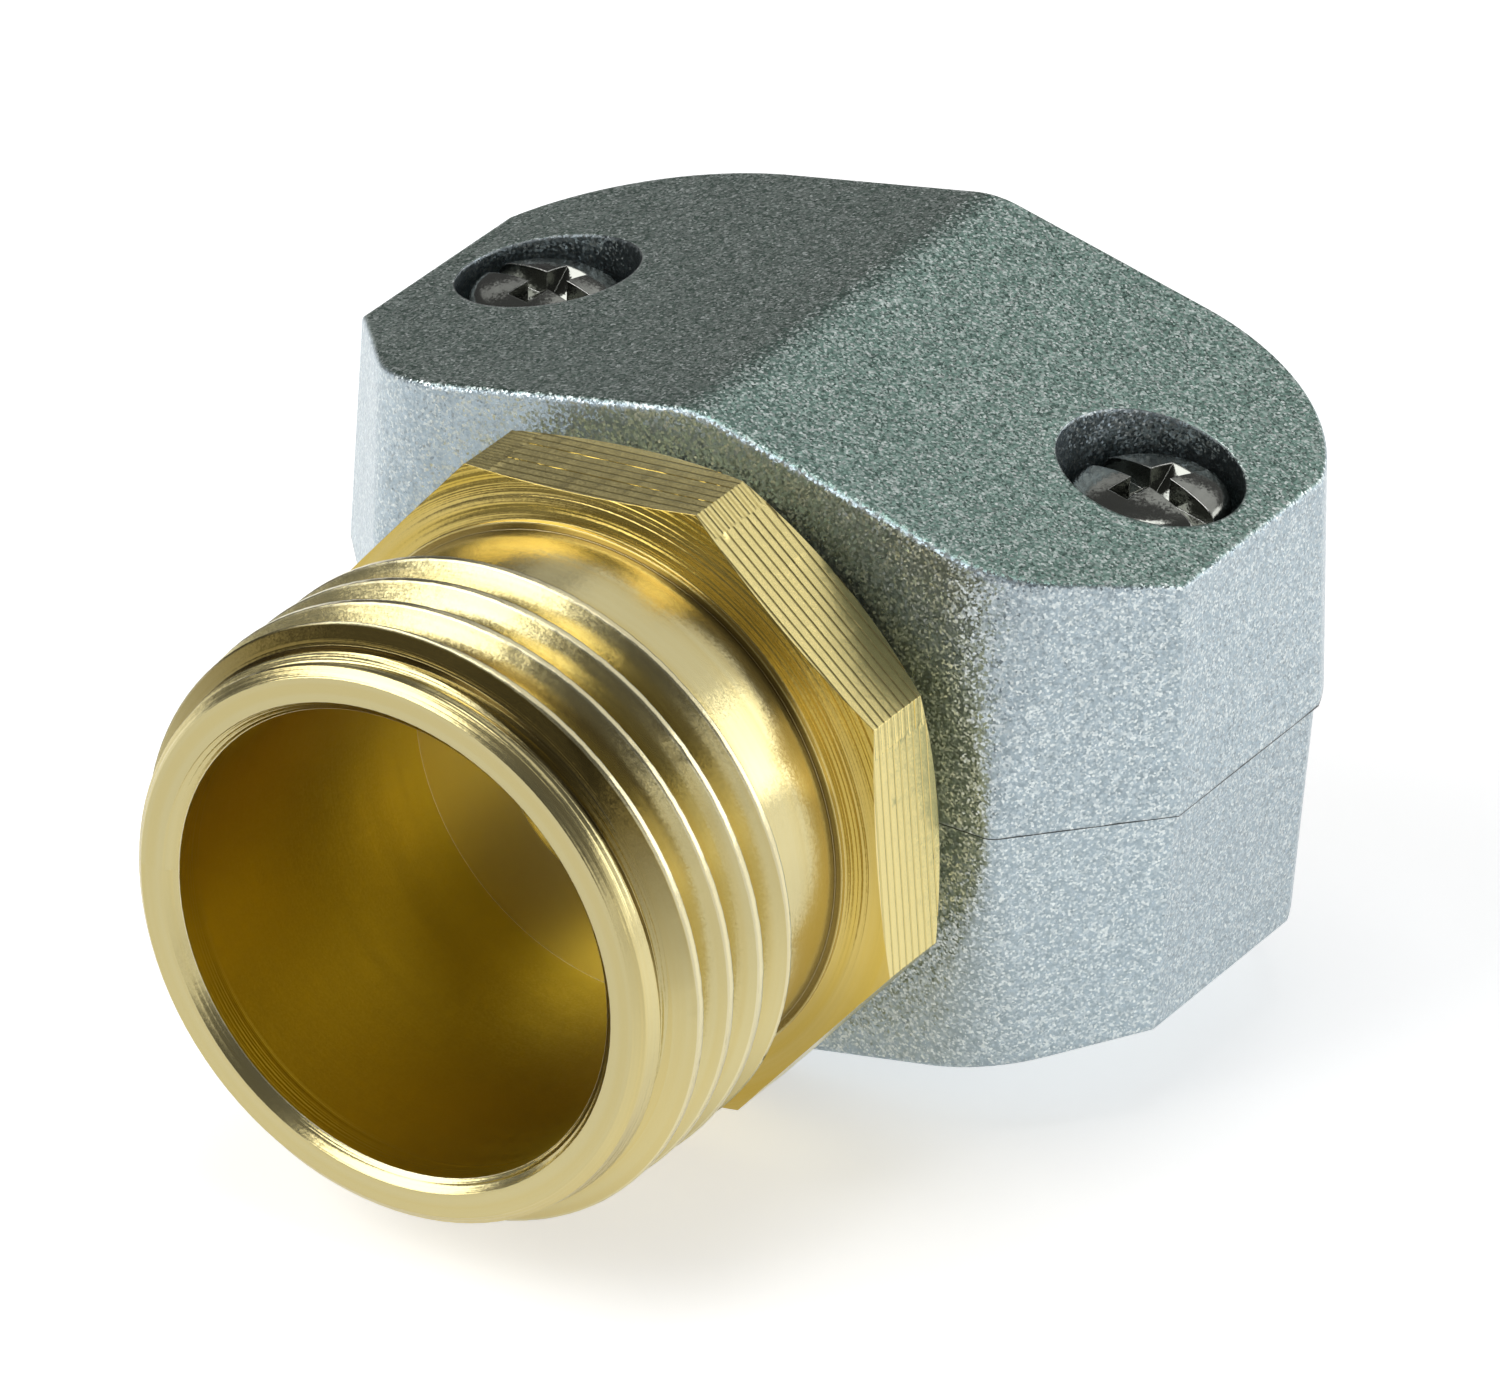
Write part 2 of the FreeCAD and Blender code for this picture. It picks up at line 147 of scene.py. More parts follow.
# The same along the axis: the bore's bright mouth, and how far masks run past the start of
# the flange, the bead and the thread
MOUTH_DEPTH = 0.4 * MM
FRONT_LEAD = 0.1 * MM
BEAD_TAIL = 0.06 * MM
GAP_LEAD = 0.5 * MM
GAP_TAIL = 0.9 * MM

# A normal's Y over which a face points to the nose, and the slopes that tell barrel from cone
TO_NOSE = -0.5
BARREL_SLOPE = 0.5
CONE_SLOPE = 0.95

# Height of the turning marks, and how far an edge of the brass is rounded, rubbed and lit with a painted
# highlight
RING_HEIGHT = 0.05 * MM
BRASS_EDGE_REACH = 0.05 * MM
THREAD_EDGE_REACH = 0.09 * MM

# Clamp: its screws' place and counterbores, and the dark seam between its halves
SCREW_X = 14.9 * MM
SCREW_Y = 33.95 * MM
COUNTERBORE_R = 3.96 * MM
COUNTERBORE_MARGIN = 0.03 * MM
SEAM_WIDTH = 0.12 * MM

# Screws: the heads' seat, where a head is cut under it, how far the shank reaches into the
# head, the shank's radius, and the shares of the pitch where its thread rises and falls
HEAD_SEAT_Z = 8.9 * MM
HEAD_CUT = 0.4 * MM
SHANK_LAP = 0.2 * MM
SHANK_R = 1.752 * MM
THREAD_RISE = (0.12, 0.44)
THREAD_FALL = (0.56, 0.88)

# Painted shade, dark mottle, a darker seam, and edges rubbed and lit with a painted highlight
GROOVE_SHADE = (0.3, 0.22, 0.05)
GAP_SHADE = (0.16, 0.11, 0.02)
FOOT_SHADE = (0.16, 0.1, 0.02)
BRASS_EDGE_WEAR_AND_HIGHLIGHT = (0.88, 0.8, 0.5)
CAST_POCKETS = (0.12, 0.15, 0.15)
HOLE_SHADE = (0.06, 0.07, 0.07)
SEAM_DARKENING = (0.03, 0.035, 0.035)
STEEL_EDGE_WEAR_AND_HIGHLIGHT = (0.85, 0.85, 0.83)

# Shares of its colour that the casting's top keeps on its left side, as painted shade, and the steel in
# its marks
TOP_LEFT_SHADE = (0.45, 0.45, 0.4)
STEEL_MARKS = 0.6

WHITE = (1.0, 1.0, 1.0)

# Floor: half its width, its drop under the part, and the light that it adds for the rays
# that show it as background. In reflections it is dimmer towards the front.
FLOOR_HALF = 10
FLOOR_DROP = 0.02 * MM
FLOOR_GLOW = 0.5
FRONT_GLOW = 0.3
GLOW_FRONT = -0.03
GLOW_BACK = 0.03

# Cards and lamps: name, centre, width, height, and radiance
CARDS = (
    ("left_card", (-0.56, 0.3, 0.06), 1.7, 0.32, 0.1),
    ("front_card", (0.02, -0.7, 0.16), 0.36, 0.5, 0.06),
    ("front_left_card", (-0.3, -0.52, 0.07), 0.8, 0.28, 0.12),
    ("back_left_card", (-0.4, 0.5, 0.37), 0.42, 0.14, 0.6),
)
LAMPS = (
    ("front_left_lamp", (-0.38, -0.4, 0.42), 0.66, 0.5, 3.4),
    ("right_back_lamp", (0.46, 0.56, 0.22), 0.5, 0.32, 2.3),
    ("back_top_lamp", (0.06, 0.54, 0.49), 0.7, 0.36, 0.75),
    ("right_lamp", (0.68, 0.0, 0.22), 0.6, 0.36, 0.9),
    ("top_lamp", (-0.02, 0.02, 0.7), 0.3, 0.3, 3.6),
)

# Camera, as fitted to the photographed part
CAMERA_PLACE = Vector((0.25011, -0.37384, 0.26748))
CAMERA_RIGHT = Vector((0.8402, 0.5416, 0.0264))
CAMERA_DOWN = Vector((0.2869, -0.4027, -0.8692))
CAMERA_AHEAD = Vector((-0.4602, 0.7379, -0.4937))
SENSOR_WIDTH = 36.0

# What the settings of one kind share
COLOUR = {"subtype": "COLOR", "size": 3, "min": 0, "max": 1}
FACTOR = {"subtype": "FACTOR", "min": 0, "max": 1}
LENGTH = {"subtype": "DISTANCE", "unit": "LENGTH", "precision": 5}


class HoseMenderBrass(bpy.types.PropertyGroup):
    """Finish of the turned coupling"""

    colour: FloatVectorProperty(
        name="Brass",
        description="Colour of the turned brass",
        default=(0.64, 0.56, 0.29),
        **COLOUR,
    )
    # Its share on the thread's roots is painted shade
    deep_brass_and_root_shade: FloatVectorProperty(
        name="Deep brass",
        description="Colour of the flange's front and of the thread's roots",
        default=(0.6, 0.42, 0.06),
        **COLOUR,
    )
    bore_colour: FloatVectorProperty(
        name="Bore",
        description="Colour of the dull brass in the bore",
        default=(0.6, 0.45, 0.04),
        **COLOUR,
    )
    milled_colour: FloatVectorProperty(
        name="Milled flats",
        description="Colour of the bright flats of the flange",
        default=(0.86, 0.73, 0.3),
        **COLOUR,
    )
    # Painted highlight: a pale colour on the thread's crests, where they catch the light
    crest_highlight_colour: FloatVectorProperty(
        name="Crest highlight",
        description="Colour of the brass on the thread's crests",
        default=(0.9, 0.86, 0.66),
        **COLOUR,
    )
    shoulder_colour: FloatVectorProperty(
        name="Shoulder",
        description="Colour of the shoulder at the end of the bore",
        default=(0.85, 0.78, 0.52),
        **COLOUR,
    )
    roughness: FloatProperty(
        name="Roughness",
        description="Roughness of the turned surface",
        default=0.16,
        **FACTOR,
    )
    ring_pitch: FloatProperty(
        name="Ring pitch",
        description="Distance from one turning mark to the next",
        default=0.17 * MM,
        **LENGTH,
    )
    groove_pitch: FloatProperty(
        name="Groove pitch",
        description="Distance between the cutter's grooves over the flange's flats",
        default=0.5 * MM,
        **LENGTH,
    )
    groove_depth: FloatProperty(
        name="Groove depth",
        description="Depth of the cutter's grooves over the flange's flats",
        default=0.025 * MM,
        **LENGTH,
    )
    burr: FloatProperty(
        name="Burr",
        description="How far the thread's crest edges wander",
        default=0.03 * MM,
        **LENGTH,
    )


class HoseMenderCasting(bpy.types.PropertyGroup):
    """Finish of the cast clamp halves"""

    colour: FloatVectorProperty(
        name="Casting",
        description="Colour of the cast metal",
        default=(0.46, 0.56, 0.625),
        **COLOUR,
    )
    # Painted shade: the top is darker and greener than the sides, as the light falls on it
    top_shade_colour: FloatVectorProperty(
        name="Casting's shaded top",
        description="Colour of the cast metal where it faces up",
        default=(0.25, 0.42, 0.35),
        **COLOUR,
    )
    # Also laid on the edges, as their wear and a painted highlight
    speck_and_edge_highlight_colour: FloatVectorProperty(
        name="Specks",
        description="Colour of the bright specks and rubbed edges of the cast skin",
        default=(0.85, 0.9, 0.88),
        **COLOUR,
    )
    roughness: FloatProperty(
        name="Roughness",
        description="Roughness of the cast skin",
        default=0.3,
        **FACTOR,
    )
    sparkle: FloatProperty(
        name="Sparkle",
        description="How far the cast skin's small facets tilt",
        min=0,
        max=2,
        default=0.48,
    )
    grain: FloatProperty(
        name="Grain",
        description="Size of the cast skin's grain",
        default=0.1 * MM,
        **LENGTH,
    )


class HoseMenderScrews(bpy.types.PropertyGroup):
    """Size and finish of the clamp screws"""

    colour: FloatVectorProperty(
        name="Steel",
        description="Colour of the plated steel",
        default=(0.33, 0.34, 0.31),
        **COLOUR,
    )
    roughness: FloatProperty(
        name="Roughness",
        description="Roughness of the plated steel",
        default=0.12,
        **FACTOR,
    )
    pitch: FloatProperty(
        name="Pitch",
        description="Thread pitch of the screws",
        default=25.4 / 32 * MM,
        **LENGTH,
    )
    thread_depth: FloatProperty(
        name="Thread depth",
        description="Depth of the screws' thread",
        default=0.46 * MM,
        **LENGTH,
    )
    steps: IntProperty(
        name="Steps a turn",
        description="Mesh steps in one turn of the screws' thread",
        min=12,
        max=96,
        default=32,
    )


class HoseMenderStage(bpy.types.PropertyGroup):
    """Floor, lamps and camera"""

    floor_colour: FloatVectorProperty(
        name="Floor",
        description="Colour of the floor",
        default=(0.86, 0.86, 0.86),
        **COLOUR,
    )
    lens: FloatProperty(
        name="Lens",
        description="Focal length of the camera, in millimetres",
        min=50,
        max=1000,
        default=312.0,
    )


def feed(tree, node, values):
    """Gives a node its input values. A value that is a socket is linked, any other is set."""
    for socket, value in values.items():
        if isinstance(value, bpy.types.NodeSocket):
            tree.links.new(value, node.inputs[socket])
        else:
            node.inputs[socket].default_value = value


def add(tree, kind, values=None, **settings):
    """A new node in a tree."""
    node = tree.nodes.new(kind)
    for name, setting in settings.items():
        setattr(node, name, setting)
    feed(tree, node, values or {})
    return node


def maths(tree, operation, *values):
    """The output of a Math node."""
    return add(tree, "ShaderNodeMath", dict(enumerate(values)), operation=operation).outputs[0]


def times(tree, first, second):
    """The product of two values."""
    return maths(tree, "MULTIPLY", first, second)


def below(tree, value, limit):
    """1 where the value is less than the limit, 0 elsewhere."""
    return maths(tree, "LESS_THAN", value, limit)


def over(tree, value, limit):
    """1 where the value is more than the limit, 0 elsewhere."""
    return maths(tree, "GREATER_THAN", value, limit)


def within(tree, value, low, high):
    """1 where the value lies between low and high, 0 elsewhere."""
    return times(tree, over(tree, value, low), below(tree, value, high))


def ranged(tree, value, low, high, start=0.0, end=1.0):
    """A value that runs from start to end, stretched to run from low to high."""
    ends = {0: value, 1: start, 2: end, 3: low, 4: high}
    return add(tree, "ShaderNodeMapRange", ends).outputs[0]


def vector_maths(tree, operation, values):
    """The outputs of a Vector Math node."""
    return add(tree, "ShaderNodeVectorMath", values, operation=operation).outputs


def split(tree, vector):
    """The X, Y and Z outputs of a vector."""
    return add(tree, "ShaderNodeSeparateXYZ", {0: vector}).outputs


def new_group(name, inputs, outputs):
    """An empty shader node group with named sockets, and its two end nodes."""
    group = bpy.data.node_groups.new(name, "ShaderNodeTree")
    for socket, kind, default in inputs:
        made = group.interface.new_socket(socket, in_out="INPUT", socket_type="NodeSocket" + kind)
        if default is not None:
            made.default_value = default
    for socket, kind in outputs:
        group.interface.new_socket(socket, in_out="OUTPUT", socket_type="NodeSocket" + kind)
    return group, group.nodes.new("NodeGroupInput"), group.nodes.new("NodeGroupOutput")


def turning_marks():
    """Shader group: rings round the Y axis on faces, cones and cylinders alike, and their radius."""
    if "Turning marks" in bpy.data.node_groups:
        return bpy.data.node_groups["Turning marks"]
    group, start, end = new_group(
        "Turning marks",
        [("Vector", "Vector", None), ("Pitch", "Float", 0.0001)],
        [("Height", "Float"), ("Tint", "Float"), ("Radius", "Float"), ("Along", "Float")],
    )
    place = split(group, start.outputs["Vector"])
    across = add(group, "ShaderNodeCombineXYZ", {0: place[0], 2: place[2]}).outputs[0]
    radius = vector_maths(group, "LENGTH", {0: across})["Value"]
    pitch = start.outputs["Pitch"]
    along = maths(group, "DIVIDE", place[1], pitch)
    out = maths(group, "DIVIDE", radius, pitch)
    turn = maths(group, "ARCTAN2", place[2], place[0])
    rings = add(group, "ShaderNodeCombineXYZ", {0: along, 1: out, 2: times(group, turn, 0.3)}).outputs[0]
    fine = add(
        group,
        "ShaderNodeTexNoise",
        {"Vector": rings, "Scale": 1.0, "Detail": 1.0, "Roughness": 0.5},
    )
    broad = add(group, "ShaderNodeTexNoise", {"Vector": rings, "Scale": 0.3, "Detail": 2.0})
    made = {
        "Height": fine.outputs["Fac"],
        "Tint": broad.outputs["Fac"],
        "Radius": radius,
        "Along": place[1],
    }
    feed(group, end, made)
    return group


def metal_grain():
    """Shader group: facets that each tilt their own way, a chance for each, and unevenness."""
    if "Metal grain" in bpy.data.node_groups:
        return bpy.data.node_groups["Metal grain"]
    group, start, end = new_group(
        "Metal grain",
        [
            ("Vector", "Vector", None),
            ("Normal", "Vector", None),
            ("Size", "Float", 0.0001),
            ("Tilt", "Float", 0.3),
        ],
        [("Normal", "Vector"), ("Lot", "Float"), ("Mottle", "Float"), ("Swell", "Float")],
    )
    place = start.outputs["Vector"]
    scale = maths(group, "DIVIDE", 1.0, start.outputs["Size"])
    cells = add(group, "ShaderNodeTexVoronoi", {"Vector": place, "Scale": scale}).outputs["Color"]
    lot = add(group, "ShaderNodeSeparateColor", {0: cells}).outputs[0]
    centred = vector_maths(group, "SUBTRACT", {0: cells, 1: (0.5, 0.5, 0.5)})[0]
    tilted = vector_maths(group, "SCALE", {0: centred, 3: start.outputs["Tilt"]})[0]
    leaning = vector_maths(group, "ADD", {0: start.outputs["Normal"], 1: tilted})[0]
    facet = vector_maths(group, "NORMALIZE", {0: leaning})[0]
    mottle = add(
        group,
        "ShaderNodeTexNoise",
        {"Vector": place, "Scale": times(group, scale, 0.3), "Detail": 3.0},
    )
    swell = add(
        group,
        "ShaderNodeTexNoise",
        {"Vector": place, "Scale": times(group, scale, 0.05), "Detail": 1.0},
    )
    made = {
        "Normal": facet,
        "Lot": lot,
        "Mottle": mottle.outputs["Fac"],
        "Swell": swell.outputs["Fac"],
    }
    feed(group, end, made)
    return group


def edge_wear_and_highlight():
    """Shader group: a mask that is high along the edges of a piece, for their wear and painted
    highlight, and a normal rounded there.
    """
    if "Edge wear and highlight" in bpy.data.node_groups:
        return bpy.data.node_groups["Edge wear and highlight"]
    group, start, end = new_group(
        "Edge wear and highlight",
        [("Reach", "Float", 0.0003), ("Strength", "Float", 4.0)],
        [("Mask", "Float"), ("Normal", "Vector")],
    )
    rounded = add(group, "ShaderNodeBevel", {"Radius": start.outputs["Reach"]}, samples=6).outputs[0]
    surface = add(group, "ShaderNodeNewGeometry").outputs["Normal"]
    along = vector_maths(group, "DOT_PRODUCT", {0: rounded, 1: surface})["Value"]
    mask = add(
        group,
        "ShaderNodeMath",
        {0: maths(group, "SUBTRACT", 1.0, along), 1: start.outputs["Strength"]},
        operation="MULTIPLY",
        use_clamp=True,
    )
    feed(group, end, {"Mask": mask.outputs[0], "Normal": rounded})
    return group


def new_material(name):
    """A material with its Principled shader, and the piece's own coordinates and normals."""
    material = bpy.data.materials.new(name)
    material.use_nodes = True
    tree = material.node_tree
    own = add(tree, "ShaderNodeTexCoord").outputs
    return material, tree, tree.nodes["Principled BSDF"], own["Object"], own["Normal"]


def place_group(tree, group, values):
    """The outputs of a node group in a material, with that material's values."""
    node = tree.nodes.new("ShaderNodeGroup")
    node.node_tree = group
    feed(tree, node, values)
    return node.outputs


def rgba(colour):
    return (*colour, 1.0)


def mixed(tree, share, first, second):
    """The output of a colour Mix node. Each colour is a socket, or red, green and blue."""
    colours = [c if isinstance(c, bpy.types.NodeSocket) else rgba(c) for c in (first, second)]
    values = {0: share, 6: colours[0], 7: colours[1]}
    return add(tree, "ShaderNodeMix", values, data_type="RGBA").outputs[2]


def coated(tree, colour, coats):
    """A colour with others laid over it in turn, each by its own share."""
    for share, coat in coats:
        colour = mixed(tree, share, colour, coat)
    return colour


def bumped(tree, height, strength, distance, normal):
    """A normal with a height's slopes laid over it."""
    values = {"Height": height, "Strength": strength, "Distance": distance, "Normal": normal}
    return add(tree, "ShaderNodeBump", values).outputs[0]


def brass_material(settings):
    """Turned brass: rings of the tool, a deep gold flange front and a dull bore."""
    material, tree, shader, place, normal = new_material("turned_brass")
    marks = place_group(tree, turning_marks(), {"Vector": place, "Pitch": settings.ring_pitch})
    radius = marks["Radius"]
    along = marks["Along"]
    facing = split(tree, normal)
    slope = maths(tree, "ABSOLUTE", facing[1])
    to_nose = below(tree, facing[1], TO_NOSE)
    outside = over(tree, radius, BORE_R + WALL_MARGIN)
    threaded = within(tree, along, THREAD_START, THREAD_END)

    bore = times(
        tree,
        below(tree, radius, BORE_R + BORE_MARGIN),
        within(tree, along, MOUTH_DEPTH, BORE_DEPTH + WALL_MARGIN),
    )
    shoulder = times(tree, bore, to_nose)
    milled = times(
        tree, within(tree, along, FLANGE_FRONT, FLANGE_BACK), below(tree, slope, BARREL_SLOPE)
    )
    flange_front = times(
        tree,
        times(tree, to_nose, outside),
        within(tree, along, FLANGE_FRONT - FRONT_LEAD, FLANGE_BACK),
    )
    root = times(tree, times(tree, outside, below(tree, radius, CREST_R - ROOT_DROP)), threaded)
    crest = times(tree, over(tree, radius, CREST_R - CREST_SKIN), threaded)
    nose_cone = times(tree, below(tree, along, THREAD_START), below(tree, slope, CONE_SLOPE))
    bead_foot = times(
        tree,
        within(tree, along, BEAD_FRONT - FRONT_LEAD, BEAD_FRONT + BEAD_TAIL),
        below(tree, radius, CREST_R - BEAD_DROP),
    )
    first_gap = times(
        tree,
        within(tree, along, THREAD_START - GAP_LEAD, THREAD_START + GAP_TAIL),
        below(tree, radius, CREST_R - GAP_DROP),
    )
    upper_side = ranged(tree, facing[2], 0.0, 1.0, 0.0, 0.3)
    passes = maths(tree, "DIVIDE", maths(tree, "SUBTRACT", along, FLANGE_FRONT), settings.groove_pitch)
    stripe = within(
        tree, maths(tree, "FRACT", passes), GROOVE_PHASE - STRIPE_HALF, GROOVE_PHASE + STRIPE_HALF
    )

    # The roots' share of the deep colour is painted shade, for the darker light that bounces between the
    # flanks
    deep = maths(tree, "MAXIMUM", times(tree, flange_front, 0.65), times(tree, root, 0.2))
    deep = maths(tree, "MAXIMUM", deep, times(tree, milled, 0.1))
    turned = maths(tree, "SUBTRACT", 1.0, milled)
    stain = times(tree, ranged(tree, marks["Tint"], -0.55, 0.85), turned)
    reach = maths(tree, "MULTIPLY_ADD", times(tree, outside, threaded), THREAD_EDGE_REACH, BRASS_EDGE_REACH)
    edges = place_group(tree, edge_wear_and_highlight(), {"Reach": reach, "Strength": 3.0})
    coats = (
        (maths(tree, "ADD", deep, times(tree, stain, 0.5)), settings.deep_brass_and_root_shade),
        (times(tree, milled, 0.7), settings.milled_colour),
        (times(tree, times(tree, stripe, milled), 0.4), GROOVE_SHADE),
        # Painted highlight on the thread's crests
        (times(tree, crest, 0.35), settings.crest_highlight_colour),
        (times(tree, times(tree, first_gap, upper_side), 0.9), GAP_SHADE),
        (times(tree, bead_foot, 0.7), FOOT_SHADE),
        (bore, settings.bore_colour),
        (shoulder, settings.shoulder_colour),
        # Edges rubbed and lit: wear and a painted highlight along the edges
        (times(tree, edges["Mask"], 0.5), BRASS_EDGE_WEAR_AND_HIGHLIGHT),
    )

    marked = maths(tree, "MAXIMUM", flange_front, times(tree, nose_cone, 0.8))
    swing = maths(tree, "MULTIPLY_ADD", marked, 0.95, maths(tree, "MULTIPLY_ADD", milled, -0.04, 0.04))
    rings = bumped(tree, times(tree, marks["Height"], swing), 1.0, RING_HEIGHT, edges["Normal"])
    grain = place_group(
        tree, metal_grain(), {"Vector": place, "Normal": rings, "Size": 0.08 * MM, "Tilt": 0.04}
    )
    rough = maths(tree, "MULTIPLY_ADD", bore, 0.16, settings.roughness)
    finish = {
        "Base Color": coated(tree, settings.colour, coats),
        "Roughness": maths(tree, "MULTIPLY_ADD", marks["Tint"], 0.12, rough),
        "Metallic": 1.0,
        "Normal": grain["Normal"],
    }
    feed(tree, shader, finish)
    return material


def casting_material(settings):
    """Die-cast metal: a skin of small sparkling facets, a darker seam, edges rubbed and lit with a
    painted highlight, and painted shade on its top and in the counterbores.
    """
    material, tree, shader, place, normal = new_material("cast_metal")
    edges = place_group(tree, edge_wear_and_highlight(), {"Reach": 0.3 * MM, "Strength": 2.5})
    grain = place_group(
        tree,
        metal_grain(),
        {
            "Vector": place,
            "Normal": edges["Normal"],
            "Size": settings.grain,
            "Tilt": settings.sparkle,
        },
    )
    facing = split(tree, normal)
    spot = split(tree, place)

    # Painted shade: darker and greener where the casting faces up, and darker again on the top's left
    # side
    upward = ranged(tree, facing[2], 0.0, 1.0, 0.5, 0.9)
    leftward = ranged(tree, facing[0], 0.0, 1.0, 0.1, -0.2)
    darker = [share * c for share, c in zip(TOP_LEFT_SHADE, settings.top_shade_colour)]
    top = mixed(tree, times(tree, leftward, 0.9), settings.top_shade_colour, darker)

    to_axis = add(
        tree,
        "ShaderNodeCombineXYZ",
        {
            0: maths(tree, "SUBTRACT", maths(tree, "ABSOLUTE", spot[0]), SCREW_X),
            1: maths(tree, "SUBTRACT", spot[1], SCREW_Y),
        },
    )
    from_axis = vector_maths(tree, "LENGTH", {0: to_axis.outputs[0]})["Value"]
    hole = times(
        tree,
        below(tree, from_axis, COUNTERBORE_R + COUNTERBORE_MARGIN),
        over(tree, spot[2], 0.0),
    )
    wall = ranged(tree, facing[0], 0.85, 0.1, -0.2, 0.8)
    seam = below(
        tree, maths(tree, "ABSOLUTE", spot[2]), times(tree, grain["Swell"], SEAM_WIDTH)
    )
    upright = below(tree, maths(tree, "ABSOLUTE", facing[2]), 0.5)
    coats = (
        (upward, top),
        (times(tree, grain["Mottle"], 0.55), CAST_POCKETS),
        (times(tree, maths(tree, "POWER", grain["Lot"], 3.0), 0.8), settings.speck_and_edge_highlight_colour),
        # Edges rubbed and lit: wear and a painted highlight in the specks' colour
        (times(tree, edges["Mask"], 0.35), settings.speck_and_edge_highlight_colour),
        (times(tree, hole, wall), HOLE_SHADE),
        # Darker along the seam between the halves, on upright faces
        (times(tree, times(tree, seam, upright), 0.9), SEAM_DARKENING),
    )
    low, high = settings.roughness - 0.1, settings.roughness + 0.12
    finish = {
        "Base Color": coated(tree, settings.colour, coats),
        "Roughness": ranged(tree, grain["Mottle"], low, high),
        "Metallic": 0.92,
        "Normal": bumped(tree, grain["Swell"], 0.5, 0.12 * MM, grain["Normal"]),
    }
    feed(tree, shader, finish)
    return material


def screw_material(settings, name, x):
    """Plated steel, with the marks of its heading tool round the screw's own axis."""
    material, tree, shader, place, _ = new_material(name)
    upright = add(
        tree,
        "ShaderNodeMapping",
        {"Vector": place, "Location": (x, SCREW_Y, 0.0), "Rotation": (math.pi / 2, 0.0, 0.0)},
        vector_type="TEXTURE",
    )
    marks = place_group(tree, turning_marks(), {"Vector": upright.outputs[0], "Pitch": 0.2 * MM})
    edges = place_group(tree, edge_wear_and_highlight(), {"Reach": 0.08 * MM, "Strength": 3.0})
    heading = bumped(tree, marks["Height"], 0.5, 0.006 * MM, edges["Normal"])
    grain = place_group(
        tree, metal_grain(), {"Vector": place, "Normal": heading, "Size": 0.1 * MM, "Tilt": 0.06}
    )
    coats = (
        (marks["Tint"], [STEEL_MARKS * c for c in settings.colour]),
        # Edges rubbed and lit: wear and a painted highlight along the screws' edges
        (times(tree, edges["Mask"], 0.5), STEEL_EDGE_WEAR_AND_HIGHLIGHT),
    )
    low, high = settings.roughness - 0.05, settings.roughness + 0.12
    finish = {
        "Base Color": coated(tree, settings.colour, coats),
        "Roughness": ranged(tree, marks["Tint"], low, high),
        "Metallic": 1.0,
        "Normal": grain["Normal"],
    }
    feed(tree, shader, finish)
    return material


def new_mesh(name, bm):
    """A mesh with the bmesh's faces. The bmesh is freed."""
    mesh = bpy.data.meshes.new(name)
    bm.to_mesh(mesh)
    bm.free()
    return mesh


def new_object(name, data):
    """An object in the scene."""
    made = bpy.data.objects.new(name, data)
    bpy.context.scene.collection.objects.link(made)
    return made


def merged_copy(node):
    """A bmesh with a CAD node's faces, joined where they meet."""
    bm = bmesh.new()
    bm.from_mesh(frame["nodes"][node].data)
    bmesh.ops.remove_doubles(bm, verts=bm.verts, dist=WELD)
    bmesh.ops.dissolve_degenerate(bm, edges=bm.edges, dist=WELD / 4)
    return bm


def body_of_node(node):
    """The body that a CAD node rides on."""
    for body, members in frame["record"]["behaviour"]["bodies"].items():
        if node in members:
            return body
    raise RuntimeError(f"{node} rides on no body")


def on_flat(edge):
    """Whether an edge runs along a groove over one of the flange's flats."""
    middle = (edge.verts[0].co + edge.verts[1].co) / 2
    if math.hypot(middle.x, middle.z) < FLANGE_FLAT_R - FLAT_EDGE_GAP:
        return False
    if edge.calc_face_angle(0.0) < GROOVE_FOLD:
        return False
    run = (edge.verts[1].co - edge.verts[0].co).normalized()
    return FLANGE_FRONT < middle.y < FLANGE_BACK and abs(run.y) < GROOVE_LEAN


def finished_piece(bm, name, node, material, crease_deg):
    """The bmesh as an object that stands for a CAD node and rides on its body."""
    crease = math.radians(crease_deg)
    for face in bm.faces:
        face.smooth = True
    for edge in bm.edges:
        sharp = len(edge.link_faces) == 2 and edge.calc_face_angle(0.0) > crease
        edge.smooth = not sharp and not on_flat(edge)
    mesh = new_mesh(name, bm)
    piece = new_object(name, mesh)
    mesh.materials.append(material)
    even = piece.modifiers.new("Even shading", "WEIGHTED_NORMAL")
    even.keep_sharp = True
    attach(piece, body_of_node(node))
    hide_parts(node)
    return piece


def flat_faces(bm, outward):
    """The faces of one flat of the flange."""
    return [
        face
        for face in bm.faces
        if face.normal.dot(outward) > FLAT_COSINE
        and abs(face.calc_center_median().dot(outward) - FLANGE_FLAT_R) < FLAT_FACE_GAP
        and FLANGE_FRONT < face.calc_center_median().y < FLANGE_BACK
    ]


def cut_across(bm, faces, point, normal):
    """Splits the faces along a plane, and returns them with their new pieces."""
    edges = {edge for face in faces for edge in face.edges}
    verts = {vert for face in faces for vert in face.verts}
    made = bmesh.ops.bisect_plane(
        bm,
        geom=list(verts) + list(edges) + list(faces),
        dist=CUT_WELD,
        plane_co=point,
        plane_no=normal,
    )
    kept = {face for face in faces if face.is_valid}
    kept.update(item for item in made["geom"] if isinstance(item, bmesh.types.BMFace))
    return list(kept)


